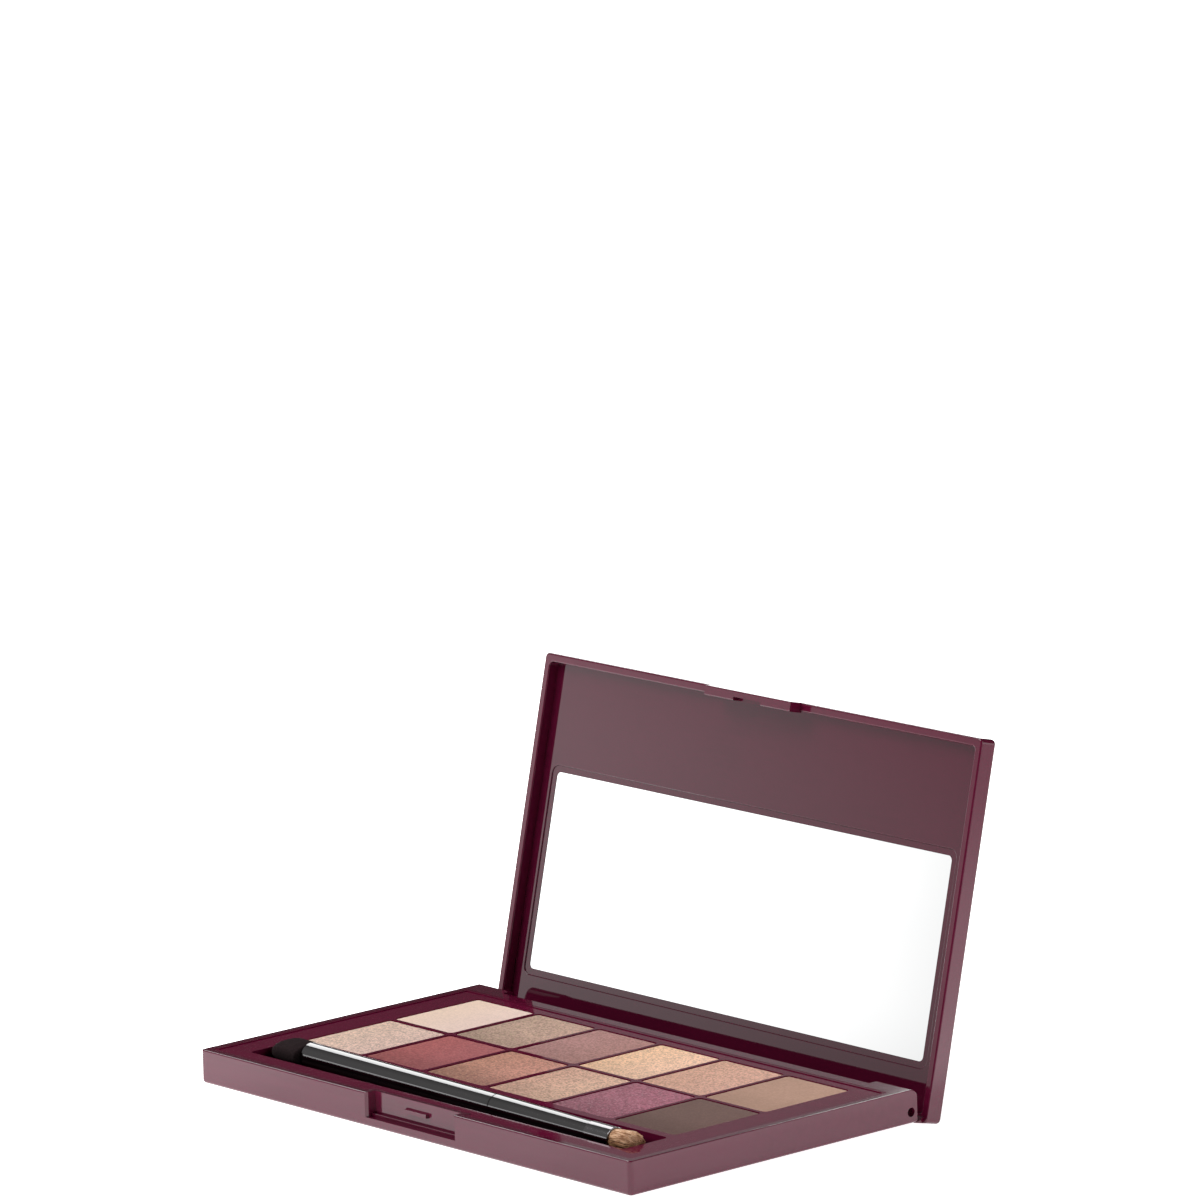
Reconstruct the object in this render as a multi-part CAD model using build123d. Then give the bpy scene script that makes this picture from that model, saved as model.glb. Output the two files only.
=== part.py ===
from build123d import *
import math
import os

# Eyeshadow palette: a shallow two-shell compact with twelve powder pans, a mirror lid and a loose brush.
# Frame: millimetres, +X to the user's right, +Y from the latch edge to the hinge edge, +Z up.
# The origin is the middle of the base's flat underside. The lid is drawn closed and then swung open.

# ---- overall size -------------------------------------------------------------------------------
WIDTH = 150.0            # along X
BASE_DEPTH = 88.8        # along Y
BASE_HEIGHT = 8.05       # underside to rim
LID_DEPTH = 89.3         # the lid overhangs the base a little at the hinge
LID_THICKNESS = 4.9
LID_TOP_R = 0.8
LID_RIM_R, LID_INNER_RIM_R = 0.45, 0.3
RIM_GAP = 0.1            # between the two rims when the palette is closed
OPEN_ANGLE = 102.9       # the lid's travel, in degrees
FRONT = -BASE_DEPTH / 2  # Y of the latch face
SIDE = WIDTH / 2

# ---- base shell ---------------------------------------------------------------------------------
WALL = 2.0
FLOOR = 1.2
CORNER_R = 1.2
EDGE_R, BOTTOM_R = 0.3, 0.8
INNER_R = 1.0            # vertical corners inside the two shells
CHEEK_R = 2.1            # rounding of the top rear corner over the hinge
ABOVE = 1.0              # how far a cutter runs past the surface it opens
LEDGE_Z = 3.4            # shelf and ribs that carry the tray
LEDGE_W = 2.0
RIB_W = 1.2
RIB_COUNT = 5

# ---- latch --------------------------------------------------------------------------------------
NOTCH_W = 30.2
NOTCH_DEPTH = 2.6
NOTCH_FLOOR = 2.2
STEP_Y = 1.6             # the notch's floor steps up behind this line
STEP_Z = 2.95
NOTCH_BACK = 3.8         # rear of the wall that closes the notch inside the shell
NOTCH_WALL = 1.8         # thickness of that wall at the notch's ends
FLARE = 0.6              # bevel at the notch's two front corners
NUB_W = 7.4
NUB_LOW, NUB_TIP, NUB_FLAT, NUB_HIGH = 4.75, 4.95, 5.7, 6.1
NUB_OUT = 0.9
TAB_W = 29.4
TAB_T = 2.35
TAB_DROP = 3.4
TAB_POCKET_W = 9.4
TAB_POCKET_Y = 1.5
TAB_POCKET_HIGH = 6.4
TAB_TIP_R = 0.3

# ---- hinge --------------------------------------------------------------------------------------
PIN_Y = FRONT + 86.7
PIN_Z = 2.77
PIN_R = 1.1
PIN_RUNNING = 0.05       # radial clearance of the pin in the lid's spine
PIN_OUTER, PIN_INNER = 72.0, 58.5
PIN_CHAMFER = 0.15
PIN_END_GAP = 0.3        # between a pin's inner end and the bottom of the spine's bore
CHEEK_INNER = 63.5       # inner face of each cheek
SLOT_FRONT = FRONT + 84.0
SLOT_LIP = FRONT + 84.5  # the slot's front wall above the stop
STOP_Z = 3.36
SPINE_HALF = 63.2
SPINE_R = 2.05
SPINE_FRONT = FRONT + 86.2
STOP_REACH = 2.6         # the stop rib, from the pin's axis
STOP_HALF = 0.5
HEEL_LOW = 5.6           # the lid's rear lip laps behind the cheeks down to here
HEEL_GAP = 0.22
HINGE_ROOT = 0.5         # how far the spine, heel and tab run up into the lid's wall
SPINE_SKIRT = 1.2        # the lid's rear wall carries on down this far onto the spine

# ---- tray and pans ------------------------------------------------------------------------------
TRAY_TOP = 7.8
TRAY_GAP = 0.12
TRAY_REAR = FRONT + 81.5
BEAD_W, BEAD_TOP = 0.7, 8.0
COLUMNS, ROWS = 6, 2
FIELD_X = 65.0           # half width of the pan field and of the brush trough
FIELD_FRONT, FIELD_REAR = FRONT + 22.6, FRONT + 78.2
DIVIDER = 1.0
PAN_SEAT_Z = 5.6
PAN_R = 1.2
PAN_GAP = 0.1
PAN_TIN = 0.25
PAN_RIM_Z = 7.3
GLUE_T = 0.15
GLUE_R = 6.0
TRAY_R = 0.9
POWDER_TOP = 7.72
TROUGH_FRONT, TROUGH_REAR = FRONT + 6.9, FRONT + 20.7
TROUGH_FLOOR = 4.4
TROUGH_R = 1.2

# ---- lid fittings -------------------------------------------------------------------------------
INSERT_DEPTH = 2.7       # face of the mirror frame below the lid's rim
INSERT_T = 1.2
MIRROR_X = 68.0
MIRROR_NEAR, MIRROR_FAR = FRONT + 28.0, FRONT + 76.0
MIRROR_T = 0.7
MIRROR_SUNK = 0.35
MIRROR_R = 1.3
FRAME_W = 1.5            # the sunk border round the mirror
FRAME_SUNK = 0.25
FRAME_R = 2.0
FRAME_EDGE_R = 0.2
MIRROR_GAP = 0.05
INSERT_GAP = 0.1
TAPE_MARGIN = 2.0

# ---- brush --------------------------------------------------------------------------------------
BRUSH_YAW = -1.52        # it lies slightly askew in the trough
BRUSH_Y = FRONT + 14.05
BRUSH_Z = 7.5
HANDLE_LEFT, HANDLE_JOINT, FERRULE_LEFT, FERRULE_RIGHT = -53.3, 14.8, 48.2, 56.4
HANDLE_R_LEFT, HANDLE_R_JOINT, HANDLE_R_RIGHT = 3.05, 2.9, 2.6
HANDLE_END_BEVEL = 0.35
JOINT_GROOVE_DEEP, JOINT_GROOVE_WIDE = 0.1, 0.15
SPIGOT_R, SPIGOT_LONG = 1.5, 6.0
FERRULE_R, FERRULE_WALL = 2.75, 0.35
FERRULE_BORE = FERRULE_R - FERRULE_WALL
FERRULE_ROOT = 3.0       # the handle's neck inside the ferrule
FERRULE_EDGE_R = 0.15
BRISTLE_LONG = 8.2
BRISTLE_SHAPE = ((0.25, 2.7), (0.7, 2.85), (0.92, 2.3), (1.0, 1.3))   # (share of length, radius)
STEM_R = 1.0
STEM_INTO_HANDLE, STEM_INTO_SPONGE = 5.0, 7.0
SPONGE_LONG, SPONGE_WIDE, SPONGE_THICK = 11.1, 9.5, 5.6
SPONGE_TAPER = 1.6       # narrowing of the paddle towards the handle, on each side
SPONGE_FLAT = 0.4        # half the height of the paddle's straight edge

RIM_CLOSED = BASE_HEIGHT + RIM_GAP
LID_TOP = RIM_CLOSED + LID_THICKNESS
INSERT_FACE = RIM_CLOSED + INSERT_DEPTH
INSERT_BACK = INSERT_FACE + INSERT_T
PITCH_X = 2 * FIELD_X / COLUMNS
PITCH_Y = (FIELD_REAR - FIELD_FRONT) / ROWS
SEAT_X, SEAT_Y = PITCH_X - DIVIDER, PITCH_Y - DIVIDER
LID_REAR = FRONT + LID_DEPTH


def block(x0, x1, y0, y1, z0, z1):
    """A plain box between two corners."""
    return Pos((x0 + x1) / 2, (y0 + y1) / 2, (z0 + z1) / 2) * Box(x1 - x0, y1 - y0, z1 - z0)


def slab(x0, x1, y0, y1, z0, z1, radius):
    """A box whose four vertical edges are rounded."""
    outline = RectangleRounded(x1 - x0, y1 - y0, radius)
    return extrude(Pos((x0 + x1) / 2, (y0 + y1) / 2, z0) * outline, z1 - z0)


def along_x(profile, half_length):
    """A closed Y-Z profile, drawn as (y, z) points and arcs, extruded evenly both ways along X."""
    face = Plane.YZ * make_face(profile)
    return extrude(face, half_length, both=True)


def rod(x0, x1, radius, y=PIN_Y, z=PIN_Z):
    """A round bar along X."""
    return Pos((x0 + x1) / 2, y, z) * Rot(0, 90, 0) * Cylinder(radius, abs(x1 - x0))


def edges_at_height(part, z):
    return part.edges().filter_by_position(Axis.Z, z - 0.01, z + 0.01)


# ---- base ---------------------------------------------------------------------------------------
def base_shell():
    rear = FRONT + BASE_DEPTH
    side_view = Polyline((FRONT, 0), (rear, 0), (rear, BASE_HEIGHT - CHEEK_R))
    side_view += RadiusArc((rear, BASE_HEIGHT - CHEEK_R), (rear - CHEEK_R, BASE_HEIGHT), -CHEEK_R)
    side_view += Polyline((rear - CHEEK_R, BASE_HEIGHT), (FRONT, BASE_HEIGHT), (FRONT, 0))
    shell = along_x(side_view, SIDE)
    front_corners = shell.edges().filter_by(Axis.Z).group_by(Axis.Y)[0]
    shell = fillet(front_corners, CORNER_R)
    shell = fillet(edges_at_height(shell, BASE_HEIGHT).filter_by(lambda e: on_outline(e, shell)), EDGE_R)
    shell = fillet(edges_at_height(shell, 0), BOTTOM_R)
    shell -= slab(-SIDE + WALL, SIDE - WALL, FRONT + WALL, TRAY_REAR, LEDGE_Z, BASE_HEIGHT + ABOVE, INNER_R)
    shell -= underside_hollow()
    shell += latch_wall()
    shell -= latch_notch()
    shell += latch_nub()
    shell -= hinge_slot()
    for half in (1, -1):
        shell -= rod(half * CHEEK_INNER, half * (SIDE + ABOVE), PIN_R)
    return shell


def on_outline(edge, body):
    """True for an edge on the outer boundary of the body's plan, away from the rounded rear corner."""
    box, middle = body.bounding_box(), edge @ 0.5
    at_side = abs(abs(middle.X) - SIDE) < CORNER_R
    at_front = abs(middle.Y - box.min.Y) < CORNER_R
    return at_side or at_front


def underside_hollow():
    """The space under the tray, crossed by ribs that carry it."""
    x = SIDE - WALL - LEDGE_W
    hollow = block(-x, x, FRONT + WALL + LEDGE_W, TRAY_REAR - LEDGE_W, FLOOR, LEDGE_Z)
    for index in range(RIB_COUNT):
        middle = -x + (index + 1) * 2 * x / (RIB_COUNT + 1)
        hollow -= block(middle - RIB_W / 2, middle + RIB_W / 2, FRONT, TRAY_REAR, 0, LEDGE_Z)
    return hollow


def latch_wall():
    half = NOTCH_W / 2 + NOTCH_WALL
    return block(-half, half, FRONT + WALL / 2, FRONT + NOTCH_BACK, FLOOR, BASE_HEIGHT)


def latch_notch():
    half = NOTCH_W / 2
    notch = block(-half, half, FRONT - ABOVE, FRONT + NOTCH_DEPTH, STEP_Z, BASE_HEIGHT + ABOVE)
    notch += block(-half, half, FRONT - ABOVE, FRONT + STEP_Y, NOTCH_FLOOR, BASE_HEIGHT)
    for end in (1, -1):
        flare = Polyline((end * half / 2, FRONT + FLARE), (end * half, FRONT + FLARE),
                         (end * (half + FLARE), FRONT), (end * (half + FLARE), FRONT - ABOVE),
                         (end * half / 2, FRONT - ABOVE), close=True)
        notch += extrude(Pos(0, 0, NOTCH_FLOOR) * make_face(flare), BASE_HEIGHT)
    return notch


def latch_nub():
    """The bead that the lid's tab clicks over, sloping at its top and bottom."""
    wall = FRONT + NOTCH_DEPTH
    inside = (wall + FRONT + NOTCH_BACK) / 2
    wedge = Polyline((inside, NUB_LOW), (wall, NUB_LOW), (wall - NUB_OUT, NUB_TIP),
                     (wall - NUB_OUT, NUB_FLAT), (wall, NUB_HIGH), (inside, NUB_HIGH), close=True)
    return along_x(wedge, NUB_W / 2)


def hinge_slot():
    """The gap between the two cheeks that the lid's spine turns in, with the stop's lip above."""
    rear = FRONT + BASE_DEPTH + ABOVE
    slot = block(-CHEEK_INNER, CHEEK_INNER, SLOT_LIP, rear, -ABOVE, BASE_HEIGHT + ABOVE)
    return slot + block(-CHEEK_INNER, CHEEK_INNER, SLOT_FRONT, rear, -ABOVE, STOP_Z)


def hinge_pin(half):
    pin = rod(half * PIN_INNER, half * PIN_OUTER, PIN_R)
    return chamfer(pin.edges(), PIN_CHAMFER)


# ---- tray, pans and powder ----------------------------------------------------------------------
def pan_centre(column, row):
    return (-FIELD_X + (column + 0.5) * PITCH_X, FIELD_FRONT + (row + 0.5) * PITCH_Y)


def pan_block(column, row, margin, z0, z1, radius):
    """A rounded slab centred on a pan's seat and set in from it by the margin."""
    x, y = pan_centre(column, row)
    dx, dy = SEAT_X / 2 - margin, SEAT_Y / 2 - margin
    return slab(x - dx, x + dx, y - dy, y + dy, z0, z1, radius)


def base_tray():
    x0, x1 = -SIDE + WALL + TRAY_GAP, SIDE - WALL - TRAY_GAP
    y0, y1 = FRONT + WALL + TRAY_GAP, TRAY_REAR - TRAY_GAP
    tray = slab(x0, x1, y0, y1, LEDGE_Z, BEAD_TOP, TRAY_R)
    tray -= slab(x0 + BEAD_W, x1 - BEAD_W, y0 + BEAD_W, y1 - BEAD_W, TRAY_TOP, BEAD_TOP + ABOVE, TRAY_R / 2)
    half = NOTCH_W / 2 + NOTCH_WALL + TRAY_GAP
    tray -= block(-half, half, FRONT, FRONT + NOTCH_BACK + TRAY_GAP, 0, BEAD_TOP + ABOVE)
    for column in range(COLUMNS):
        for row in range(ROWS):
            tray -= pan_block(column, row, 0, PAN_SEAT_Z, TRAY_TOP + ABOVE, PAN_R)
    trough = slab(-FIELD_X, FIELD_X, TROUGH_FRONT, TROUGH_REAR, TROUGH_FLOOR, TRAY_TOP + ABOVE, TROUGH_R)
    return tray - trough


def pan_cup(column, row):
    cup = pan_block(column, row, PAN_GAP, PAN_SEAT_Z + GLUE_T, PAN_RIM_Z, PAN_R - PAN_GAP)
    return cup - pan_block(column, row, PAN_GAP + PAN_TIN, PAN_SEAT_Z + GLUE_T + PAN_TIN,
                           PAN_RIM_Z + ABOVE, PAN_R - PAN_GAP - PAN_TIN)


def powder_cake(column, row):
    """Pressed powder: it fills the cup and crowns over its thin rim."""
    core = pan_block(column, row, PAN_GAP + PAN_TIN, PAN_SEAT_Z + GLUE_T + PAN_TIN, PAN_RIM_Z,
                     PAN_R - PAN_GAP - PAN_TIN)
    crown = pan_block(column, row, PAN_GAP, PAN_RIM_Z, POWDER_TOP, PAN_R - PAN_GAP)
    return core + crown


def glue_spots():
    """One thin disc of adhesive under each pan."""
    discs = []
    for column in range(COLUMNS):
        for row in range(ROWS):
            x, y = pan_centre(column, row)
            discs.append(Pos(x, y, PAN_SEAT_Z + GLUE_T / 2) * Cylinder(GLUE_R, GLUE_T))
    return Compound(discs)


# ---- lid, drawn closed --------------------------------------------------------------------------
def lid_shell():
    shell = slab(-SIDE, SIDE, FRONT, LID_REAR, RIM_CLOSED, LID_TOP, CORNER_R)
    shell = fillet(edges_at_height(shell, LID_TOP), LID_TOP_R)
    shell = fillet(edges_at_height(shell, RIM_CLOSED), LID_RIM_R)
    outline = set(edges_at_height(shell, RIM_CLOSED))
    shell -= slab(-SIDE + WALL, SIDE - WALL, FRONT + WALL, LID_REAR - WALL, RIM_CLOSED - ABOVE,
                  INSERT_BACK, INNER_R)
    shell = fillet([e for e in edges_at_height(shell, RIM_CLOSED) if e not in outline], LID_INNER_RIM_R)
    shell += rear_heel()
    shell += hinge_spine()
    shell += latch_tab()
    for half in (1, -1):
        shell -= rod(half * (PIN_INNER - PIN_END_GAP), half * (SPINE_HALF + ABOVE), PIN_R + PIN_RUNNING)
    return shell


def rear_heel():
    """The lid's rear lip: it follows the rounded cheeks and laps down behind them."""
    centre_y, centre_z = FRONT + BASE_DEPTH - CHEEK_R, BASE_HEIGHT - CHEEK_R
    reach = CHEEK_R + HEEL_GAP
    top = RIM_CLOSED + HINGE_ROOT
    inner_y = LID_REAR - WALL
    start_z = centre_z + math.sqrt(reach ** 2 - (inner_y - centre_y) ** 2)
    heel = Polyline((inner_y, top), (inner_y, start_z))
    heel += RadiusArc((inner_y, start_z), (centre_y + reach, centre_z), reach)
    heel += Polyline((centre_y + reach, centre_z), (centre_y + reach, HEEL_LOW), (LID_REAR, HEEL_LOW),
                     (LID_REAR, top), (inner_y, top))
    return along_x(heel, SIDE - CORNER_R)


def hinge_spine():
    """The full-width knuckle between the cheeks, with the rib that stops the lid when it is open."""
    barrel = rod(-SPINE_HALF, SPINE_HALF, SPINE_R)
    high = RIM_CLOSED + HINGE_ROOT
    web = block(-SPINE_HALF, SPINE_HALF, SPINE_FRONT, PIN_Y + SPINE_R, PIN_Z, high)
    web += block(-SPINE_HALF, SPINE_HALF, LID_REAR - WALL, LID_REAR, RIM_CLOSED - SPINE_SKIRT, high)
    stop = block(-SPINE_HALF, SPINE_HALF, PIN_Y - STOP_REACH, PIN_Y, PIN_Z - STOP_HALF, PIN_Z + STOP_HALF)
    return barrel + web + turned(stop, OPEN_ANGLE)


def latch_tab():
    half = TAB_W / 2
    tip = RIM_CLOSED - TAB_DROP
    tab = block(-half, half, FRONT, FRONT + TAB_T, tip, RIM_CLOSED + HINGE_ROOT)
    tab = fillet(tab.edges().filter_by(Axis.X).group_by(Axis.Z)[0], TAB_TIP_R)
    pocket = block(-TAB_POCKET_W / 2, TAB_POCKET_W / 2, FRONT + TAB_POCKET_Y, FRONT + TAB_T + ABOVE,
                   tip - ABOVE, TAB_POCKET_HIGH)
    return tab - pocket


def lid_insert():
    """The plate that lines the lid, with a shallow sunk border round the mirror's opening."""
    y0, y1 = FRONT + WALL + INSERT_GAP, LID_REAR - WALL - INSERT_GAP
    x = SIDE - WALL - INSERT_GAP
    plate = slab(-x, x, y0, y1, INSERT_FACE, INSERT_BACK, INNER_R - INSERT_GAP)
    outline = set(edges_at_height(plate, INSERT_FACE))
    plate -= slab(-MIRROR_X - FRAME_W, MIRROR_X + FRAME_W, MIRROR_NEAR - FRAME_W, MIRROR_FAR + FRAME_W,
                  INSERT_FACE - ABOVE, INSERT_FACE + FRAME_SUNK, FRAME_R)
    plate = fillet([e for e in edges_at_height(plate, INSERT_FACE) if e not in outline], FRAME_EDGE_R)
    return plate - slab(-MIRROR_X, MIRROR_X, MIRROR_NEAR, MIRROR_FAR, 0, LID_TOP, MIRROR_R)


def mirror_plate():
    face = INSERT_FACE + MIRROR_SUNK
    x = MIRROR_X - MIRROR_GAP
    return slab(-x, x, MIRROR_NEAR + MIRROR_GAP, MIRROR_FAR - MIRROR_GAP, face, face + MIRROR_T,
                MIRROR_R - MIRROR_GAP)


def mirror_tape():
    x = MIRROR_X - TAPE_MARGIN
    return slab(-x, x, MIRROR_NEAR + TAPE_MARGIN, MIRROR_FAR - TAPE_MARGIN,
                INSERT_FACE + MIRROR_SUNK + MIRROR_T, INSERT_BACK, MIRROR_R)


def turned(part, angle):
    """Turned about the hinge pin: plus closes the lid, minus opens it."""
    return part.rotate(Axis((0, PIN_Y, PIN_Z), (1, 0, 0)), angle)


# ---- brush, drawn along X through the origin and then laid in the trough ------------------------
def turned_bar(stations):
    """A solid of revolution along X through (x, radius) stations."""
    outline = [(stations[0][0], 0)] + list(stations) + [(stations[-1][0], 0)]
    face = make_face(Polyline(*outline, close=True))
    return revolve(face, Axis.X)


def handle_long():
    bar = turned_bar([(HANDLE_LEFT, HANDLE_R_LEFT - HANDLE_END_BEVEL),
                      (HANDLE_LEFT + HANDLE_END_BEVEL, HANDLE_R_LEFT),
                      (HANDLE_JOINT - JOINT_GROOVE_WIDE, HANDLE_R_JOINT),
                      (HANDLE_JOINT, HANDLE_R_JOINT - JOINT_GROOVE_DEEP)])
    bar -= rod(HANDLE_JOINT - SPIGOT_LONG, HANDLE_JOINT + ABOVE, SPIGOT_R, 0, 0)
    return bar - rod(HANDLE_LEFT - ABOVE, HANDLE_LEFT + STEM_INTO_HANDLE, STEM_R, 0, 0)


def handle_short():
    bar = turned_bar([(HANDLE_JOINT, HANDLE_R_JOINT - JOINT_GROOVE_DEEP),
                      (HANDLE_JOINT + JOINT_GROOVE_WIDE, HANDLE_R_JOINT), (FERRULE_LEFT, HANDLE_R_RIGHT)])
    bar += rod(HANDLE_JOINT - SPIGOT_LONG, HANDLE_JOINT, SPIGOT_R, 0, 0)
    return bar + rod(FERRULE_LEFT, FERRULE_LEFT + FERRULE_ROOT, FERRULE_BORE, 0, 0)


def brush_ferrule():
    tube = rod(FERRULE_LEFT, FERRULE_RIGHT, FERRULE_R, 0, 0)
    tube = fillet(tube.edges(), FERRULE_EDGE_R)
    return tube - rod(FERRULE_LEFT - ABOVE, FERRULE_RIGHT + ABOVE, FERRULE_BORE, 0, 0)


def brush_bristles():
    """The tuft's root inside the ferrule and its full, domed head."""
    root = rod(FERRULE_LEFT + FERRULE_ROOT, FERRULE_RIGHT, FERRULE_BORE, 0, 0)
    head = [(FERRULE_RIGHT + share * BRISTLE_LONG, radius) for share, radius in BRISTLE_SHAPE]
    return root + turned_bar([(FERRULE_RIGHT, FERRULE_BORE)] + head)


def applicator_stem():
    return rod(HANDLE_LEFT - STEM_INTO_SPONGE, HANDLE_LEFT + STEM_INTO_HANDLE, STEM_R, 0, 0)


def sponge_tip():
    """A flattened foam paddle, round at its tip."""
    half = SPONGE_WIDE / 2
    neck = half - SPONGE_TAPER
    right = HANDLE_LEFT
    left = right - SPONGE_LONG
    outline = Line((right, -neck), (left + half, -half))
    outline += ThreePointArc((left + half, -half), (left, 0), (left + half, half))
    outline += Polyline((left + half, half), (right, neck), (right, -neck))
    paddle = extrude(make_face(outline), SPONGE_THICK / 2, both=True)
    paddle = fillet(paddle.faces().filter_by(Axis.Z).edges(), SPONGE_THICK / 2 - SPONGE_FLAT)
    return paddle - rod(right - STEM_INTO_SPONGE, right + ABOVE, STEM_R, 0, 0)


def laid_in_trough(part):
    return Pos(0, BRUSH_Y, BRUSH_Z) * Rot(0, 0, BRUSH_YAW) * part


# ---- write one file per piece -------------------------------------------------------------------
def all_parts():
    parts = {"base_shell": base_shell(), "base_tray": base_tray(), "pan_glue_spots": glue_spots(),
             "hinge_pin_left": hinge_pin(-1), "hinge_pin_right": hinge_pin(1)}
    for row in range(ROWS):
        for column in range(COLUMNS):
            place = f"{('front', 'rear')[row]}_{column + 1}"
            parts["pan_" + place] = pan_cup(column, row)
            parts["shadow_" + place] = powder_cake(column, row)
    lid = {"lid_shell": lid_shell(), "lid_insert": lid_insert(), "mirror": mirror_plate(),
           "mirror_tape": mirror_tape()}
    parts.update({name: turned(part, -OPEN_ANGLE) for name, part in lid.items()})
    brush = {"handle_long": handle_long(), "handle_short": handle_short(),
             "brush_ferrule": brush_ferrule(), "brush_bristles": brush_bristles(),
             "applicator_stem": applicator_stem(), "sponge_tip": sponge_tip()}
    parts.update({name: laid_in_trough(part) for name, part in brush.items()})
    return parts


os.makedirs("parts", exist_ok=True)
for name, part in all_parts().items():
    export_step(part, f"parts/{name}.step")
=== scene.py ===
import math
import random

import bpy
from mathutils import Matrix, Vector, noise


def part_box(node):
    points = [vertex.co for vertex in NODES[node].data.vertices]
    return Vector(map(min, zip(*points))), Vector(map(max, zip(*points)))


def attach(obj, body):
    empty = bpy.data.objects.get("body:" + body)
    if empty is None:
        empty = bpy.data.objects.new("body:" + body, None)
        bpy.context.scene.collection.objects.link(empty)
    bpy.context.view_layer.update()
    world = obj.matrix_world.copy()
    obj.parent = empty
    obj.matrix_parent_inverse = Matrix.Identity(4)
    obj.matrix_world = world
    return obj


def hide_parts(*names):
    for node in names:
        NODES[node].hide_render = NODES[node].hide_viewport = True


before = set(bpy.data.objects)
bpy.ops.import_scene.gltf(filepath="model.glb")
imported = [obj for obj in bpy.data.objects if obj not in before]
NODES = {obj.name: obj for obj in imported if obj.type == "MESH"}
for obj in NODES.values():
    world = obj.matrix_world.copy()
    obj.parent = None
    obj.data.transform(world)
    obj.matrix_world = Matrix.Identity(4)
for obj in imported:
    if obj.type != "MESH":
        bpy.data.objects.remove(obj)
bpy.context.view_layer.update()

MM = 0.001

# the camera, in metres and degrees
EYE = Vector((1.44483, -1.27485, 0.49878))
EYE_TURN, EYE_DOWN, EYE_ROLL = 48.183, 11.169, -1.374
LENS, SENSOR = 257.17, 36.0

# the brush lies slightly askew in its trough: its axis, in millimetres and degrees
BRUSH_YAW = -1.52
BRUSH_Y, BRUSH_Z = -30.35, 7.5
BRISTLE_ROOT, BRISTLE_END = 55.8, 64.6
SPONGE_NEAR, SPONGE_TIP = -53.35, -64.35


# ---- small tools for materials --------------------------------------------------------------------
class Nodes:
    """A material's node tree, with short calls for what every material here uses."""

    def __init__(self, name):
        self.material = bpy.data.materials.new(name)
        self.material.use_nodes = True
        self.tree = self.material.node_tree
        self.tree.nodes.clear()
        output = self.tree.nodes.new("ShaderNodeOutputMaterial")
        self.shader = self.tree.nodes.new("ShaderNodeBsdfPrincipled")
        self.link(self.shader.outputs[0], output.inputs["Surface"])
        place = self.tree.nodes.new("ShaderNodeTexCoord")
        scale = self.tree.nodes.new("ShaderNodeMapping")
        scale.inputs["Scale"].default_value = (1000.0, 1000.0, 1000.0)
        self.link(place.outputs["Object"], scale.inputs["Vector"])
        self.mm = scale.outputs["Vector"]

    def link(self, output, socket):
        self.tree.links.new(output, socket)

    def set(self, **values):
        """Constants on the shader's own sockets."""
        for name, value in values.items():
            self.shader.inputs[name.replace("_", " ")].default_value = value

    def feed(self, name, socket):
        self.link(socket, self.shader.inputs[name])

    def stretched(self, x, y, z, turn=(0.0, 0.0, 0.0)):
        """The place in millimetres, scaled and turned: a small scale draws a pattern out along that axis."""
        node = self.tree.nodes.new("ShaderNodeMapping")
        node.inputs["Scale"].default_value = (x, y, z)
        node.inputs["Rotation"].default_value = turn
        self.link(self.mm, node.inputs["Vector"])
        return node.outputs["Vector"]

    def noise(self, per_mm, detail=2.0, rough=0.5, vector=None):
        node = self.tree.nodes.new("ShaderNodeTexNoise")
        node.inputs["Scale"].default_value = per_mm
        node.inputs["Detail"].default_value = detail
        node.inputs["Roughness"].default_value = rough
        self.link(vector or self.mm, node.inputs["Vector"])
        return node.outputs["Fac"]

    def cells(self, per_mm, output="Distance", vector=None):
        node = self.tree.nodes.new("ShaderNodeTexVoronoi")
        node.inputs["Scale"].default_value = per_mm
        self.link(vector or self.mm, node.inputs["Vector"])
        return node.outputs[output]

    def spread(self, socket, low, high, to_low=0.0, to_high=1.0):
        """A smooth step from to_low to to_high as the value goes from low to high."""
        node = self.tree.nodes.new("ShaderNodeMapRange")
        node.interpolation_type = "SMOOTHSTEP"
        for name, value in (("From Min", low), ("From Max", high), ("To Min", to_low), ("To Max", to_high)):
            node.inputs[name].default_value = value
        self.link(socket, node.inputs["Value"])
        return node.outputs["Result"]

    def math(self, kind, a, b):
        node = self.tree.nodes.new("ShaderNodeMath")
        node.operation = kind
        for socket, value in zip(node.inputs, (a, b)):
            if isinstance(value, (int, float)):
                socket.default_value = value
            else:
                self.link(value, socket)
        return node.outputs[0]

    def mix(self, factor, a, b, kind="MIX"):
        """Two colours blended. Each of the three may be a socket or a constant."""
        node = self.tree.nodes.new("ShaderNodeMix")
        node.data_type = "RGBA"
        node.blend_type = kind
        for socket, value in ((node.inputs[0], factor), (node.inputs[6], a), (node.inputs[7], b)):
            if isinstance(value, (int, float)):
                socket.default_value = value
            elif isinstance(value, (tuple, list)):
                socket.default_value = (*value, 1.0)
            else:
                self.link(value, socket)
        return node.outputs[2]

    def axis(self, name):
        node = self.tree.nodes.new("ShaderNodeSeparateXYZ")
        self.link(self.mm, node.inputs[0])
        return node.outputs[name]

    def bump(self, socket, height_mm, after=None):
        node = self.tree.nodes.new("ShaderNodeBump")
        node.inputs["Distance"].default_value = height_mm * MM
        node.inputs["Strength"].default_value = 1.0
        self.link(socket, node.inputs["Height"])
        if after is not None:
            self.link(after, node.inputs["Normal"])
        self.link(node.outputs[0], self.shader.inputs["Normal"])
        return node.outputs[0]


def paint(obj, material):
    obj.data.materials.clear()
    obj.data.materials.append(material)


def scaled(colour, factor):
    return tuple(min(1.0, c * factor) for c in colour)


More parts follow.
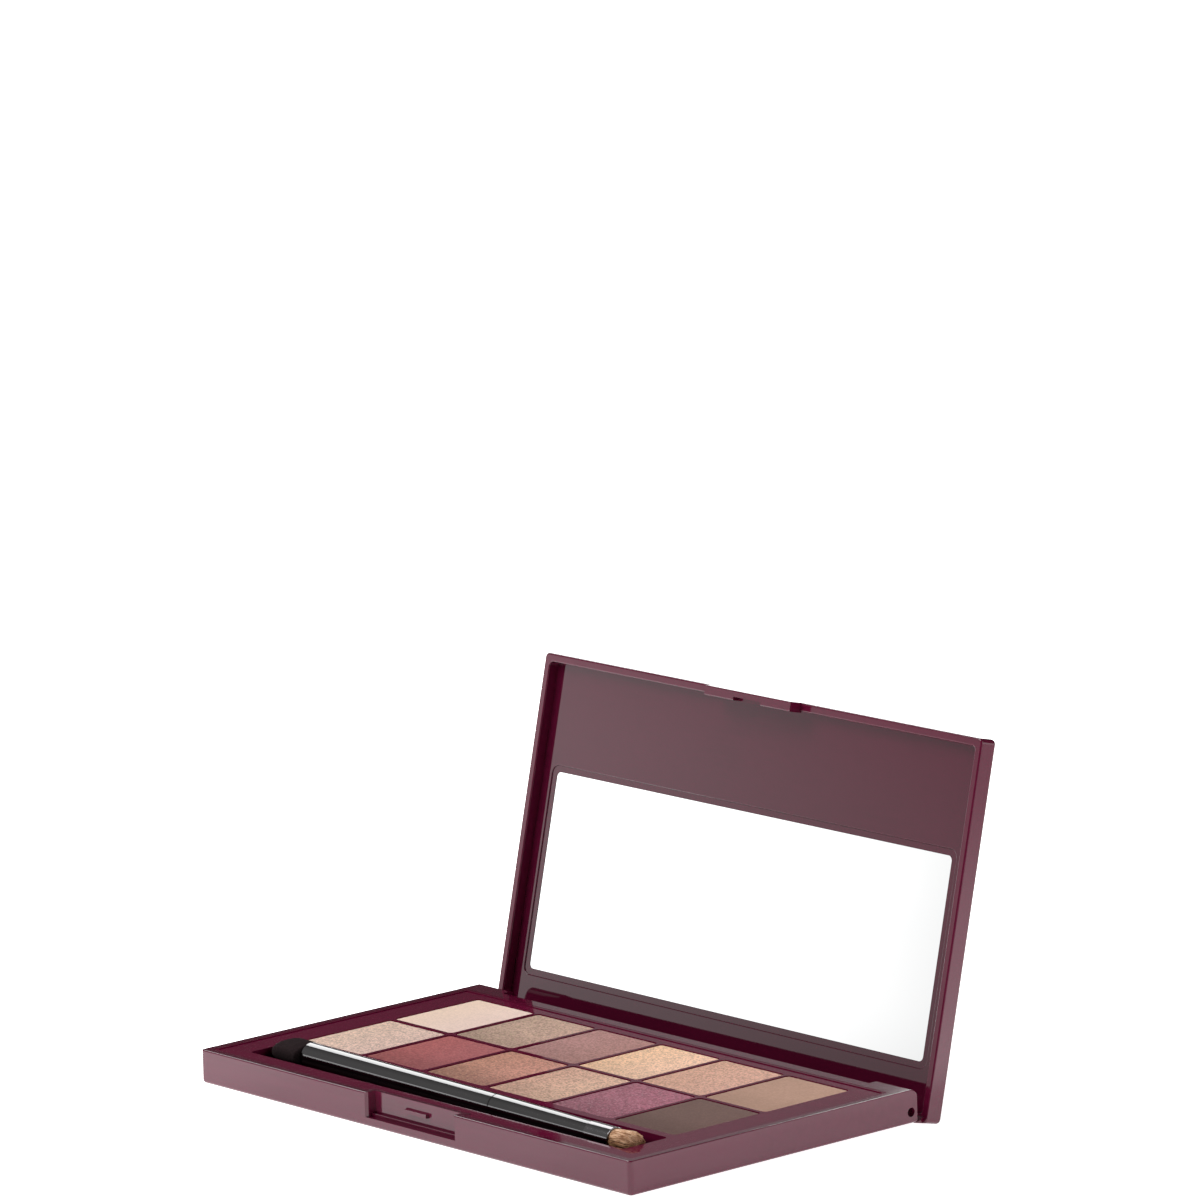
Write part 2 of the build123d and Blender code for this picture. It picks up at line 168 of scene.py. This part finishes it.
# ---- small tools for meshes -----------------------------------------------------------------------
def piece(name, points_mm, faces, material, body, replaces):
    """A closed mesh, in millimetres, that moves with a CAD body and stands for one CAD node."""
    mesh = bpy.data.meshes.new(name)
    mesh.from_pydata([tuple(c * MM for c in point) for point in points_mm], [], faces)
    mesh.validate()
    for polygon in mesh.polygons:
        polygon.use_smooth = True
    obj = bpy.data.objects.new(name, mesh)
    bpy.context.scene.collection.objects.link(obj)
    paint(obj, material)
    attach(obj, body)
    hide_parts(replaces)
    return obj


def join_loops(faces, a, b):
    """Quads between two closed loops of vertex numbers of the same length."""
    for i in range(len(a)):
        j = (i + 1) % len(a)
        faces.append((a[i], a[j], b[j], b[i]))


def on_brush(along, across, up):
    """A point given along the brush's axis, as it lies in the trough."""
    turn = math.radians(BRUSH_YAW)
    return (along * math.cos(turn) - across * math.sin(turn),
            BRUSH_Y + along * math.sin(turn) + across * math.cos(turn),
            BRUSH_Z + up)


def curve_at(points, t):
    """A smooth value between (position, value) pairs."""
    for (t0, v0), (t1, v1) in zip(points, points[1:]):
        if t <= t1:
            share = (t - t0) / (t1 - t0)
            return v0 + (v1 - v0) * share * share * (3 - 2 * share)
    return points[-1][1]


# ---- plastics -------------------------------------------------------------------------------------
BURGUNDY = (0.078, 0.0040, 0.020)
# painted shade: the tray's plastic is darkened towards the trough's floor, below its rim
TROUGH_DEEP, TROUGH_RIM = 3.4, 0.9      # the darker part of the trough, in millimetres down from the tray's top
TROUGH_PAINTED_SHADE = 0.1                     # how much of the plastic's colour is left at its floor


def burgundy_plastic(name, depth, roughness, wear, ior=1.5, recess=None):
    """Injection-moulded gloss plastic: faint flow marks, fine rubbing and hairline scratches.

    A recess, given as the heights of its floor and rim, gets darker towards its floor. This stands in for
    the deep shade there, which the soft lights don't leave."""
    m = Nodes(name)
    m.set(IOR=ior)
    cloud = m.spread(m.noise(0.035, 3.0), 0.3, 0.7)
    flow = m.spread(m.noise(0.5, 2.0, 0.5, m.stretched(0.08, 1.0, 1.0)), 0.35, 0.7)
    tint = m.mix(cloud, scaled(BURGUNDY, 0.93 * depth), scaled(BURGUNDY, 1.07 * depth))
    tint = m.mix(flow, tint, scaled(BURGUNDY, 1.04 * depth))
    if recess:
        tint = m.mix(1.0, tint, m.spread(m.axis("Z"), *recess, TROUGH_PAINTED_SHADE, 1.0), "MULTIPLY")
    m.feed("Base Color", tint)
    rub = m.spread(m.noise(0.22, 5.0, 0.65), 0.45, 0.8)
    hair = m.spread(m.noise(3.0, 2.0, 0.5, m.stretched(0.05, 1.6, 1.6)), 0.66, 0.8)
    marks = m.math("ADD", m.math("MULTIPLY", rub, wear), m.math("MULTIPLY", hair, 0.5 * wear))
    m.feed("Roughness", m.math("ADD", marks, roughness))
    peel = m.bump(m.noise(0.3, 1.0), 0.0008)
    m.bump(m.noise(3.0, 2.0), 0.0001, peel)
    return m.material


def plastics():
    case = burgundy_plastic("case_plastic", 1.06, 0.08, 0.03)
    for node in ("base_shell", "lid_shell"):
        paint(NODES[node], case)
    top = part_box("base_tray")[1].z / MM
    trough = (top - TROUGH_DEEP, top - TROUGH_RIM)
    paint(NODES["base_tray"], burgundy_plastic("tray_plastic", 1.42, 0.07, 0.03, 1.2, trough))
    paint(NODES["lid_insert"], burgundy_plastic("insert_plastic", 0.76, 0.045, 0.02))


def mirror_glass():
    m = Nodes("mirror")
    m.set(Metallic=1.0)
    m.feed("Roughness", m.spread(m.noise(0.05, 4.0, 0.6), 0.5, 0.85, 0.006, 0.03))
    haze = m.spread(m.noise(0.02, 2.0), 0.3, 0.7)
    m.feed("Base Color", m.mix(haze, (0.925, 0.93, 0.93), (0.945, 0.947, 0.947)))
    paint(NODES["mirror"], m.material)


def pan_tin():
    m = Nodes("pan_tin")
    m.set(Metallic=1.0)
    brushed = m.noise(6.0, 2.0, 0.5, m.stretched(0.15, 1.0, 1.0))
    m.feed("Roughness", m.spread(brushed, 0.3, 0.7, 0.28, 0.45))
    m.feed("Base Color", m.mix(m.spread(m.noise(0.4, 3.0), 0.3, 0.7), (0.55, 0.55, 0.54), (0.72, 0.72, 0.7)))
    m.bump(brushed, 0.002)
    for name, obj in NODES.items():
        if name.startswith("pan_") and name != "pan_glue_spots":
            paint(obj, m.material)


def pin_steel():
    m = Nodes("pin_steel")
    m.set(Metallic=1.0)
    grain = m.noise(8.0, 2.0, 0.5, m.stretched(0.1, 1.0, 1.0))
    m.feed("Roughness", m.spread(grain, 0.3, 0.7, 0.25, 0.45))
    m.feed("Base Color", m.mix(grain, (0.30, 0.29, 0.28), (0.45, 0.44, 0.43)))
    m.bump(grain, 0.002)
    for name in ("hinge_pin_left", "hinge_pin_right"):
        paint(NODES[name], m.material)


def adhesive():
    m = Nodes("adhesive")
    m.feed("Roughness", m.spread(m.noise(0.8, 3.0), 0.3, 0.7, 0.45, 0.7))
    m.feed("Base Color", m.mix(m.spread(m.noise(1.5, 3.0), 0.3, 0.7), (0.62, 0.58, 0.47), (0.75, 0.72, 0.62)))
    m.bump(m.noise(2.0, 2.0), 0.02)
    for name in ("pan_glue_spots", "mirror_tape"):
        paint(NODES[name], m.material)


# ---- pressed powders ------------------------------------------------------------------------------
class Shade:
    """One powder: its colour on the left and right of the pan, its flecks, how much it shimmers,
    and the share of its brightness that is left along the front edge of the pan, as a painted shade."""

    def __init__(self, left, right, fleck, shimmer, front):
        self.left, self.right, self.fleck, self.shimmer, self.front = left, right, fleck, shimmer, front


POWDERS = {
    "rear_1": Shade((0.86, 0.66, 0.53), (0.82, 0.63, 0.55), (0.90, 0.72, 0.60), 0.0, 1.00),
    "rear_2": Shade((0.48, 0.325, 0.25), (0.53, 0.35, 0.275), (0.60, 0.52, 0.30), 0.8, 0.80),
    "rear_3": Shade((0.43, 0.230, 0.212), (0.43, 0.228, 0.205), (0.62, 0.42, 0.36), 0.6, 0.82),
    "rear_4": Shade((0.85, 0.55, 0.355), (0.90, 0.59, 0.425), (0.98, 0.74, 0.52), 0.7, 0.83),
    "rear_5": Shade((0.65, 0.380, 0.277), (0.66, 0.39, 0.30), (0.85, 0.60, 0.50), 0.7, 0.93),
    "rear_6": Shade((0.46, 0.290, 0.220), (0.48, 0.303, 0.23), (0.52, 0.34, 0.27), 0.0, 0.87),
    "front_1": Shade((0.73, 0.530, 0.420), (0.70, 0.50, 0.425), (0.90, 0.72, 0.62), 0.8, 1.00),
    "front_2": Shade((0.405, 0.122, 0.120), (0.38, 0.123, 0.127), (0.60, 0.28, 0.27), 0.4, 0.72),
    "front_3": Shade((0.46, 0.222, 0.155), (0.54, 0.255, 0.195), (0.78, 0.48, 0.34), 0.9, 0.60),
    "front_4": Shade((0.58, 0.345, 0.255), (0.67, 0.43, 0.315), (0.88, 0.64, 0.48), 0.9, 0.76),
    "front_5": Shade((0.335, 0.122, 0.160), (0.36, 0.128, 0.172), (0.66, 0.36, 0.42), 1.0, 0.72),
    "front_6": Shade((0.178, 0.114, 0.099), (0.182, 0.115, 0.101), (0.24, 0.16, 0.15), 0.0, 0.80),
}
PAN_CORNER_R = 1.1        # millimetres, as are all the sizes below
POWDER_EDGE = 0.5         # width of the cake's worn edge
POWDER_DROP = 0.17        # how far that edge falls away
POWDER_SKIRT = 0.42       # height of the cake above the pan's rim
PAN_SHEET = 0.27          # the cake's foot stands this far inside the pan
POWDER_STEP = 0.38        # spacing of the cake's mesh
POWDER_DOME = 0.03        # the cake's middle stands this much above its sides
POWDER_CRUMB = 0.05       # depth of the crumbled places along the edge
ARC_STEPS = (22, 42, 60, 76, 90)   # degrees round a pan's corner


def powder_material(place, shade):
    m = Nodes("powder_" + place)
    low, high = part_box("shadow_" + place)
    turned = m.stretched(1.0, 1.0, 1.0, (0.0, 0.0, 0.5))
    blotch = m.noise(0.28, 3.0, 0.6)
    grain = m.noise(1.9, 2.0, 0.75, turned)
    across = m.spread(m.axis("X"), low.x / MM, high.x / MM)
    body = m.mix(across, shade.left, shade.right)
    mixed = m.math("ADD", m.math("MULTIPLY", blotch, 0.1), m.math("MULTIPLY", grain, 0.9))
    lights = m.spread(mixed, 0.38, 0.62)
    strong = 0.08 + 0.34 * shade.shimmer
    tones = m.mix(lights, (1.0 - strong,) * 3, (1.0 + 0.75 * strong,) * 3)
    body = m.mix(1.0, body, tones, "MULTIPLY")
    depth = high.y - low.y
    # painted shade: each powder darkens towards the front edge of its pan
    painted_front_shade = m.spread(m.axis("Y"), (low.y + 0.05 * depth) / MM, (low.y + 0.55 * depth) / MM, shade.front, 1.0)
    body = m.mix(1.0, body, painted_front_shade, "MULTIPLY")
    speck = m.spread(m.cells(3.2, "Color", turned), 0.70, 0.86)
    flecks = m.math("MULTIPLY", speck, 0.10 + 0.30 * shade.shimmer)
    m.feed("Base Color", m.mix(flecks, body, shade.fleck))
    m.feed("Roughness", m.spread(grain, 0.3, 0.7, 0.85 - 0.30 * shade.shimmer, 0.95 - 0.22 * shade.shimmer))
    if shade.shimmer:
        m.feed("Metallic", m.math("MULTIPLY", speck, 0.35 * shade.shimmer))
    m.set(Specular_IOR_Level=0.04 + 0.08 * shade.shimmer)
    soft = m.bump(blotch, 0.05)
    m.bump(grain, 0.035, soft)
    return m.material


def inside_edge(x, y, half_x, half_y):
    """How far a point is inside a rectangle with rounded corners."""
    qx, qy = abs(x) - half_x + PAN_CORNER_R, abs(y) - half_y + PAN_CORNER_R
    return PAN_CORNER_R - math.hypot(max(qx, 0), max(qy, 0)) - min(max(qx, qy), 0)


def rows_across(half, corner, step):
    """Positions from -half to half: close together near both ends, even between."""
    inner = half - corner
    count = round(2 * inner / step)
    arc = [inner + corner * math.sin(math.radians(a)) for a in ARC_STEPS]
    return [-v for v in reversed(arc)] + [inner * (2 * i / count - 1) for i in range(count + 1)] + arc


def powder_cake(place, shade, material):
    """A pressed cake: grainy, slightly domed top with a worn edge, standing in its tin pan."""
    node = "shadow_" + place
    low, high = (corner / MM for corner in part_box(node))
    middle, half_x, half_y = (low + high) / 2, (high.x - low.x) / 2, (high.y - low.y) / 2
    ys = rows_across(half_y, PAN_CORNER_R, POWDER_STEP)
    us = rows_across(half_x, PAN_CORNER_R, POWDER_STEP)
    points, faces = [], []
    lumps = 0.012 + 0.012 * shade.shimmer
    for y in ys:
        past = max(0.0, abs(y) - half_y + PAN_CORNER_R)
        wide = half_x - PAN_CORNER_R + math.sqrt(max(0.0, PAN_CORNER_R ** 2 - past ** 2))
        for u in us:
            x = u * wide / half_x
            edge = max(0.0, 1 - inside_edge(x, y, half_x, half_y) / POWDER_EDGE)
            worn = POWDER_DROP * edge * edge
            at = Vector((x + middle.x, y + middle.y, 0))
            relief = lumps * noise.noise(at * 1.1) + 0.5 * lumps * noise.noise(at * 3.1) - 2 * lumps
            loose = max(0.0, noise.noise(at * 0.9 + Vector((7, 3, 1))))
            crumb = POWDER_CRUMB * loose * min(1.0, edge * 3)
            dome = POWDER_DOME * ((1 - (x / half_x) ** 2) * (1 - (y / half_y) ** 2) - 1)
            points.append((at.x, at.y, high.z + relief + dome - worn - crumb))
    wide, deep = len(us), len(ys)
    for j in range(deep - 1):
        for i in range(wide - 1):
            a = j * wide + i
            faces.append((a, a + 1, a + 1 + wide, a + wide))
    front, right = list(range(wide)), [j * wide + wide - 1 for j in range(1, deep)]
    back = [(deep - 1) * wide + i for i in range(wide - 2, -1, -1)]
    left = [j * wide for j in range(deep - 2, 0, -1)]
    rim = front + right + back + left
    upper = rim
    for z, inset in ((high.z - POWDER_SKIRT, 0.0), (high.z - POWDER_SKIRT, PAN_SHEET), (low.z, PAN_SHEET)):
        lower = []
        for index in rim:
            x, y = points[index][0] - middle.x, points[index][1] - middle.y
            lower.append(len(points))
            points.append((middle.x + x * (1 - inset / half_x), middle.y + y * (1 - inset / half_y), z))
        join_loops(faces, lower, upper)
        upper = lower
    centre = len(points)
    points.append((middle.x, middle.y, low.z))
    for i in range(len(upper)):
        faces.append((centre, upper[(i + 1) % len(upper)], upper[i]))
    piece("cake_" + place, points, faces, material, "base", node)


def powders():
    for place, shade in POWDERS.items():
        powder_cake(place, shade, powder_material(place, shade))


# ---- brush ----------------------------------------------------------------------------------------
def handle_plastic():
    """Piano-black handle: glossy, with a trace of handling marks."""
    m = Nodes("handle_plastic")
    m.set(IOR=2.12)
    cloud = m.spread(m.noise(0.1, 2.0), 0.3, 0.7)
    m.feed("Base Color", m.mix(cloud, (0.003, 0.0018, 0.0022), (0.006, 0.003, 0.004)))
    smear = m.spread(m.noise(0.3, 4.0, 0.6, m.stretched(0.3, 1.0, 1.0)), 0.45, 0.8)
    m.feed("Roughness", m.math("ADD", m.math("MULTIPLY", smear, 0.05), 0.07))
    m.bump(m.noise(0.6, 1.0), 0.0012)
    for name in ("handle_long", "handle_short"):
        paint(NODES[name], m.material)


def ferrule_metal():
    """Black-plated tube with a faint smear and fine turning lines round it."""
    m = Nodes("ferrule_metal")
    m.set(Metallic=1.0)
    rings = m.noise(9.0, 2.0, 0.5, m.stretched(1.0, 0.02, 0.02))
    smear = m.spread(m.noise(0.4, 3.0), 0.4, 0.7)
    m.feed("Base Color", m.mix(smear, (0.185, 0.178, 0.182), (0.20, 0.192, 0.197)))
    m.feed("Roughness", m.math("ADD", m.math("MULTIPLY", rings, 0.02), 0.10))
    m.bump(rings, 0.00002)
    paint(NODES["brush_ferrule"], m.material)


def stem_plastic():
    m = Nodes("stem_plastic")
    m.set(IOR=1.5)
    m.feed("Base Color", m.mix(m.noise(1.0, 2.0), (0.01, 0.01, 0.01), (0.02, 0.02, 0.02)))
    m.feed("Roughness", m.spread(m.noise(2.0, 3.0), 0.3, 0.7, 0.35, 0.5))
    m.bump(m.noise(4.0, 2.0), 0.003)
    paint(NODES["applicator_stem"], m.material)


def foam_material():
    """Fine black latex foam with open pores: painted shade darkens the pores, and a faint brown, a painted
    light, lies on the foam between them.
    """
    m = Nodes("sponge_foam")
    pores = m.cells(3.4)
    fine = m.noise(5.0, 4.0, 0.7)
    # painted shade: the colour darkens towards the middle of each pore
    m.feed("Base Color", m.mix(m.spread(pores, 0.05, 0.5), (0.0052, 0.0031, 0.0034), (0.024, 0.0152, 0.0165)))
    m.feed("Roughness", m.spread(fine, 0.3, 0.7, 0.85, 1.0))
    m.set(Specular_IOR_Level=0.06)
    deep = m.bump(pores, 0.10)
    m.bump(fine, 0.05, deep)
    return m.material


SPONGE_HALF_WIDE = ((0.0, 4.65), (0.3, 4.7), (0.6, 4.74), (1.0, 4.74))     # (share of length, half width)
SPONGE_HALF_THICK = ((0.0, 2.3), (0.3, 2.72), (0.6, 2.72), (1.0, 1.9))
SPONGE_ROUND_NEAR, SPONGE_ROUND_TIP = 0.07, 0.38     # shares of the length that the two rounded ends take
SPONGE_BOXY = 0.82                                   # under 1, the section's corners fill out


def sponge():
    """The foam paddle, with pores pressed into its surface."""
    points, faces, loops = [], [], []
    around, along = 96, 72
    for i in range(along + 1):
        t = 0.5 - 0.5 * math.cos(math.pi * i / along)
        round_near = max(0.0, 1 - t / SPONGE_ROUND_NEAR)
        round_tip = max(0.0, 1 - (1 - t) / SPONGE_ROUND_TIP)
        close = math.sqrt(max(0.0, 1 - round_near ** 2.6)) * math.sqrt(max(0.0, 1 - round_tip ** 2.7))
        wide, thick = curve_at(SPONGE_HALF_WIDE, t) * close, curve_at(SPONGE_HALF_THICK, t) * close
        x = SPONGE_NEAR + (SPONGE_TIP - SPONGE_NEAR) * t
        loop = []
        for k in range(around):
            a = 2 * math.pi * k / around
            c, s = math.cos(a), math.sin(a)
            y = wide * math.copysign(abs(c) ** SPONGE_BOXY, c)
            z = thick * math.copysign(abs(s) ** SPONGE_BOXY, s)
            at = Vector((x, y, z))
            pit = 0.05 * noise.noise(at * 2.3) + 0.03 * noise.noise(at * 5.0) - 0.05
            shrink = 1 + pit / max(1.0, math.hypot(y, z)) if close > 0.05 else 1.0
            loop.append(len(points))
            points.append(on_brush(x, y * shrink, z * shrink))
            if close == 0.0:
                break
        loops.append(loop)
    for a, b in zip(loops, loops[1:]):
        if len(a) == 1:
            faces += [(a[0], b[k], b[(k + 1) % around]) for k in range(around)]
        elif len(b) == 1:
            faces += [(b[0], a[(k + 1) % around], a[k]) for k in range(around)]
        else:
            join_loops(faces, b, a)
    obj = piece("foam_tip", points, faces, foam_material(), "brush", "sponge_tip")


def hair_material():
    """Natural hair, streaked along its length, with a painted highlight of champagne on top and a painted shade
    of brown towards the underside of the tuft.
    """
    m = Nodes("bristle_hair")
    m.set(IOR=1.5, Specular_IOR_Level=0.12)
    streak = m.noise(4.5, 3.0, 0.6, m.stretched(0.06, 1.0, 1.0))
    wave = m.noise(0.9, 2.0, 0.5, m.stretched(0.3, 1.0, 1.0))
    height = m.axis("Z")
    # painted light and shade: the height blend puts champagne on the tuft's top and brown on its underside
    light = m.mix(m.spread(streak, 0.35, 0.65), (0.38, 0.145, 0.055), (1.0, 0.72, 0.49))
    brown = m.mix(m.spread(streak, 0.35, 0.65), (0.025, 0.007, 0.002), (0.48, 0.22, 0.09))
    up = m.spread(m.math("ADD", height, m.math("MULTIPLY", wave, 2.0)), 7.6, 10.6)
    m.feed("Base Color", m.mix(up, brown, light))
    m.feed("Roughness", m.spread(streak, 0.3, 0.7, 0.4, 0.6))
    m.bump(streak, 0.04)
    return m.material


TUFT = ((0.0, 2.3), (0.3, 2.6), (0.7, 2.82), (0.9, 2.5), (1.0, 2.0))    # (share of length, radius)
STRANDS, CLUMPS, STRAND_SPANS = 760, 26, 5


def strand(points, faces, chance):
    """One hair: a thin tapered tube that follows the belly of the tuft."""
    spot = 1 - 0.75 * chance.random() ** 2.2
    clump = chance.randrange(CLUMPS)
    turn = 2 * math.pi * (clump + 0.5 + 0.34 * chance.gauss(0, 1)) / CLUMPS
    drift, bow = chance.uniform(-0.16, 0.16), chance.uniform(-0.05, 0.07)
    length = 1.0 - 0.09 * spot ** 3 * chance.random() - 0.05 * chance.random() - 0.05 * (clump * 7 % 5) / 4
    thick = chance.uniform(0.06, 0.11)
    loops = []
    for step in range(STRAND_SPANS + 1):
        s = length * step / STRAND_SPANS
        out = spot * (curve_at(TUFT, s) - 0.11 - 0.16 * s * (clump * 5 % 4) / 3) * (1 + bow * s)
        out = min(out, curve_at(TUFT, s))
        a = turn + drift * s
        r = thick * (1 - 0.6 * s * s)
        x = BRISTLE_ROOT + (BRISTLE_END - BRISTLE_ROOT) * s
        loop = []
        for k in range(4):
            b = a + math.pi / 2 * k
            loop.append(len(points))
            across, up = out * math.cos(a) + r * math.cos(b), out * math.sin(a) + r * math.sin(b)
            points.append(on_brush(x, across, up))
        loops.append(loop)
    faces.append(tuple(reversed(loops[0])))
    faces.append(tuple(loops[-1]))
    for a, b in zip(loops, loops[1:]):
        join_loops(faces, a, b)


def tuft():
    """A solid core, so that no light shows through, with the hairs standing round it."""
    points, faces, chance = [], [], random.Random(7)
    around, spans, loops = 40, 12, []
    for i in range(spans + 1):
        s = 0.92 * i / spans
        out = (curve_at(TUFT, s) - 0.35) * (0.55 if i == spans else 1)
        x = BRISTLE_ROOT + (BRISTLE_END - BRISTLE_ROOT) * s
        loop = []
        for k in range(around):
            a = 2 * math.pi * k / around
            r = out * (1 + 0.05 * noise.noise(Vector((3 * math.cos(a), 3 * math.sin(a), s))))
            loop.append(len(points))
            points.append(on_brush(x, r * math.cos(a), r * math.sin(a)))
        loops.append(loop)
    faces.append(tuple(reversed(loops[0])))
    faces.append(tuple(loops[-1]))
    for a, b in zip(loops, loops[1:]):
        join_loops(faces, a, b)
    for _ in range(STRANDS):
        strand(points, faces, chance)
    piece("hair_tuft", points, faces, hair_material(), "brush", "brush_bristles")


def brush():
    handle_plastic()
    ferrule_metal()
    stem_plastic()
    sponge()
    tuft()


# ---- camera, floor and light ----------------------------------------------------------------------
def camera():
    lens = bpy.data.cameras.new("camera")
    lens.lens, lens.sensor_width = LENS, SENSOR
    lens.clip_start, lens.clip_end = 0.05, 100.0
    eye = bpy.data.objects.new("camera", lens)
    turn = Matrix.Rotation(math.radians(EYE_TURN), 4, "Z")
    tip = Matrix.Rotation(math.radians(90 - EYE_DOWN), 4, "X")
    roll = Matrix.Rotation(math.radians(EYE_ROLL), 4, "Z")
    eye.matrix_world = Matrix.Translation(EYE) @ turn @ tip @ roll
    bpy.context.scene.collection.objects.link(eye)
    bpy.context.scene.camera = eye


FLOOR_R = 2.6
# the floor's glow along X, in metres: the gloss faces of the case reflect it
FLOOR_GLOW = ((-0.085, 1.8), (-0.045, 1.35), (0.02, 1.25), (0.06, 1.0),
              (0.092, 1.0), (0.118, 1.9), (0.2, 1.3), (0.36, 0.4))   # (X, strength)


def floor():
    """A pale, lit table that also glows as a painted light, more strongly at some places along X than others.
    It touches the base's front edge and the lowest corner of the open lid.
    """
    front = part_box("base_shell")[0]
    points = [v.co for v in NODES["lid_shell"].data.vertices]
    slope = min((p.z - front.z) / (p.y - front.y) for p in points if p.y > 0)
    mesh = bpy.data.meshes.new("table")
    spokes = [2 * math.pi * i / 96 for i in range(96)]
    rim = [(FLOOR_R * math.cos(a), FLOOR_R * math.sin(a)) for a in spokes]
    mesh.from_pydata([(x, y, front.z + slope * (y - front.y)) for x, y in rim], [], [tuple(range(96))])
    table = bpy.data.objects.new("table", mesh)
    bpy.context.scene.collection.objects.link(table)
    m = Nodes("table_white")
    m.set(Base_Color=(0.86, 0.86, 0.86, 1), Roughness=0.9, Specular_IOR_Level=0.0)
    m.set(Emission_Color=(1, 1, 1, 1))
    # painted light: the table's own glow, stronger at some places along X
    glow = FLOOR_GLOW[0][1]
    for (x0, g0), (x1, g1) in zip(FLOOR_GLOW, FLOOR_GLOW[1:]):
        glow = m.math("ADD", m.spread(m.axis("X"), x0 / MM, x1 / MM, 0.0, g1 - g0), glow)
    m.feed("Emission Strength", glow)
    paint(table, m.material)


def softbox(name, centre, target, width, height, radiance, roll=0.0):
    """A rectangular soft light of even brightness, aimed at the target."""
    lamp = bpy.data.lights.new(name, "AREA")
    lamp.shape = "RECTANGLE"
    lamp.size, lamp.size_y = width, height
    lamp.energy = radiance * 4.0 * width * height
    box = bpy.data.objects.new(name, lamp)
    aim = (Vector(target) - Vector(centre)).to_track_quat("-Z", "Y")
    box.matrix_world = Matrix.Translation(centre) @ aim.to_matrix().to_4x4() @ Matrix.Rotation(roll, 4, "Z")
    box.visible_camera = False
    bpy.context.scene.collection.objects.link(box)


class Sky:
    """The studio's surroundings: a pale wall low in front on the left, fading out to the right and upward."""

    def __init__(self):
        world = bpy.data.worlds.new("studio")
        bpy.context.scene.world = world
        world.use_nodes = True
        self.tree = world.node_tree
        self.place = self.tree.nodes.new("ShaderNodeTexCoord").outputs["Generated"]

    def toward(self, x, y, z):
        """How far a direction points the given way."""
        node = self.tree.nodes.new("ShaderNodeVectorMath")
        node.operation = "DOT_PRODUCT"
        node.inputs[1].default_value = (x, y, z)
        self.tree.links.new(self.place, node.inputs[0])
        return node.outputs["Value"]

    def ramp(self, socket, low, high, to_low, to_high):
        """A smooth step from to_low to to_high as the value goes from low to high."""
        node = self.tree.nodes.new("ShaderNodeMapRange")
        node.interpolation_type = "SMOOTHSTEP"
        for key, value in (("From Min", low), ("From Max", high), ("To Min", to_low), ("To Max", to_high)):
            node.inputs[key].default_value = value
        self.tree.links.new(socket, node.inputs["Value"])
        return node.outputs["Result"]

    def times(self, a, b):
        node = self.tree.nodes.new("ShaderNodeMath")
        node.operation = "MULTIPLY"
        self.tree.links.new(a, node.inputs[0])
        self.tree.links.new(b, node.inputs[1])
        return node.outputs[0]

    def light(self, strength, ambient):
        """The glow lights the object; the camera itself looks at plain white."""
        nodes, links = self.tree.nodes, self.tree.links
        total = nodes.new("ShaderNodeMath")
        total.operation = "ADD"
        links.new(strength, total.inputs[0])
        total.inputs[1].default_value = ambient
        seen = nodes.new("ShaderNodeMix")
        links.new(nodes.new("ShaderNodeLightPath").outputs["Is Camera Ray"], seen.inputs[0])
        links.new(total.outputs[0], seen.inputs[2])
        seen.inputs[3].default_value = 1.0
        links.new(seen.outputs[0], nodes["Background"].inputs["Strength"])
        nodes["Background"].inputs["Color"].default_value = (1, 1, 1, 1)


def studio():
    """A high key light on the left, a narrow one behind that draws the bright band along the brush,
    a broad dim one for the right-hand faces, and the pale wall that the mirror and insert reflect."""
    softbox("light_key", (-0.56, -0.8, 1.26), (0, 0, 0), 1.0, 1.0, 5.4)
    softbox("light_rim", (-1.52, 0.85, 1.13), (0, 0, 0.02), 1.15, 0.42, 3.1, math.radians(46))
    softbox("light_side", (1.5, 0.6, 0.6), (0, 0, 0.03), 2.0, 1.5, 1.45)
    sky = Sky()
    side, height = sky.toward(0.678, -0.735, 0.0), sky.toward(0.0, 0.0, 1.0)
    wall = sky.times(sky.ramp(side, -0.03, 0.075, 2.0, 0.75), sky.ramp(side, 0.075, 0.5, 1.0, 0.04))
    wall = sky.times(wall, sky.ramp(sky.toward(-0.70, -0.71, 0.0), 0.12, 0.9, 0.0, 1.0))
    low = sky.times(sky.ramp(height, 0.03, 0.078, 0.3, 1.0), sky.ramp(height, 0.092, 0.14, 1.0, 0.15))
    sky.light(sky.times(wall, low), 0.06)
    bpy.context.scene.view_settings.view_transform = "Standard"


plastics()
mirror_glass()
pan_tin()
pin_steel()
adhesive()
powders()
brush()
camera()
floor()
studio()
